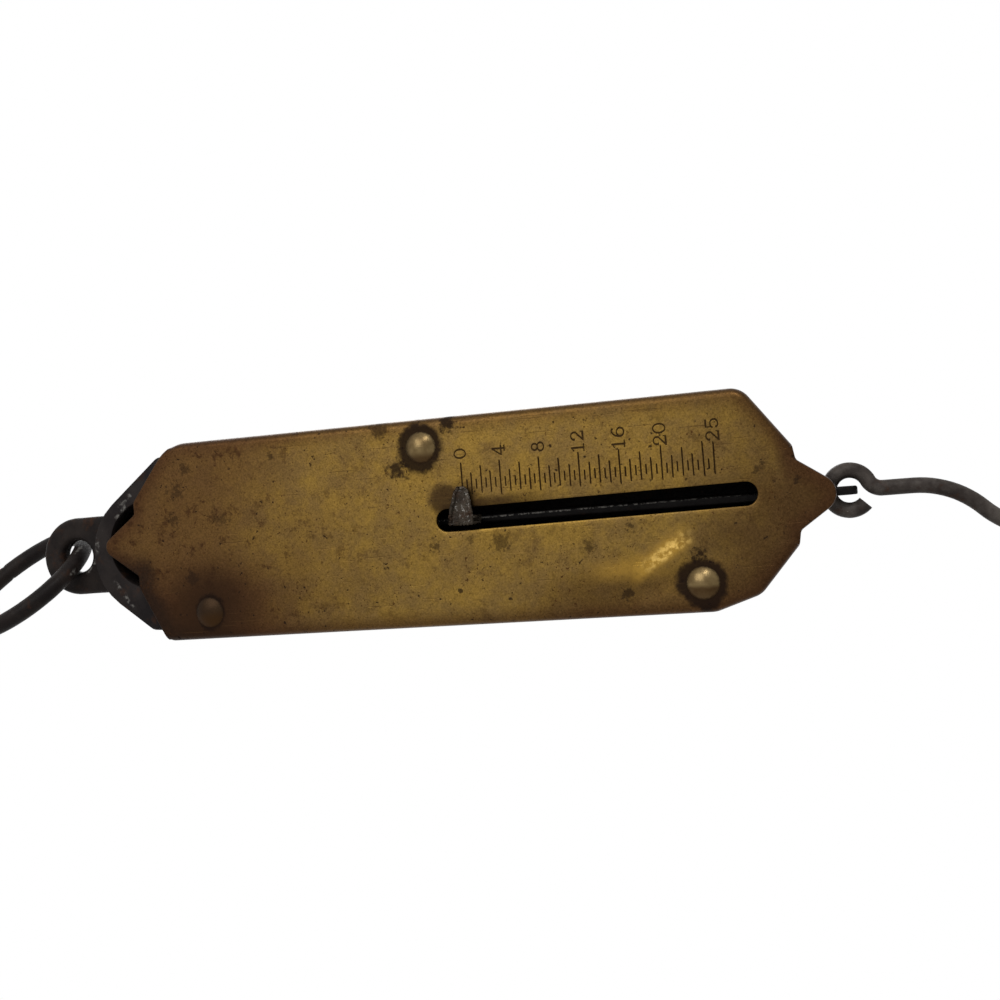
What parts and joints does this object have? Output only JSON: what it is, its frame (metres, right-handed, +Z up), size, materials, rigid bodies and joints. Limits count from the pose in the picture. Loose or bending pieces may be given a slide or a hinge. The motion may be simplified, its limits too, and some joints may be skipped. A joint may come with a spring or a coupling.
{
  "type": "spring balance",
  "caption": "Flat hanging spring balance: brass face plate with a slot and pointer over a pressed steel back, hanging ring above, weighing hook below.",
  "frame": {"origin": "the top of the ring's inside, where the balance hangs on a nail, a hook or a hand", "axes": "+Z up along the hanging balance, the brass face looks along -Y, +X towards the side with the scale"},
  "size_m": [0.038, 0.028, 0.2234],
  "materials": {
    "ring_steel": "dark oxidised round wire",
    "anchor_steel": "dark oxidised forged flat",
    "face_brass": "aged rolled sheet, stained and scratched",
    "back_steel": "dark oxidised pressed sheet",
    "rivet_brass": "rubbed domes with dark stains round them",
    "spring_steel": "dull drawn wire",
    "bar_steel": "dull flat bar, worn bright on its front edge",
    "pointer_steel": "pitted grey",
    "hook_steel": "dull round wire"
  },
  "bodies": {
    "ring": {"hanging_ring": "ring_steel"},
    "case": {"top_anchor": "anchor_steel", "face_plate": "face_brass", "back_shell": "back_steel", "rivet_top": "rivet_brass", "rivet_middle": "rivet_brass", "rivet_bottom": "rivet_brass", "coil_spring": "spring_steel"},
    "draw": {"draw_bar": "bar_steel", "pointer": "pointer_steel"},
    "hook": {"hook": "hook_steel"}
  },
  "joints": [
    {"name": "ring_swing", "type": "hinge", "parent": "ring", "child": "case", "pos_m": [0.00923, 0, -0.02537], "axis": [0, 1, 0], "range_deg": [-165, 105]},
    {"name": "draw_slide", "type": "slide", "parent": "case", "child": "draw", "axis": [0, 0, -1], "range_m": [0, 0.048], "stiffness_N_per_m": 2470, "deforming": ["coil_spring"]},
    {"name": "hook_swing", "type": "hinge", "parent": "draw", "child": "hook", "pos_m": [0.01063, 0, -0.17374], "axis": [1, 0, 0], "range_deg": [-68, 130]}
  ]
}
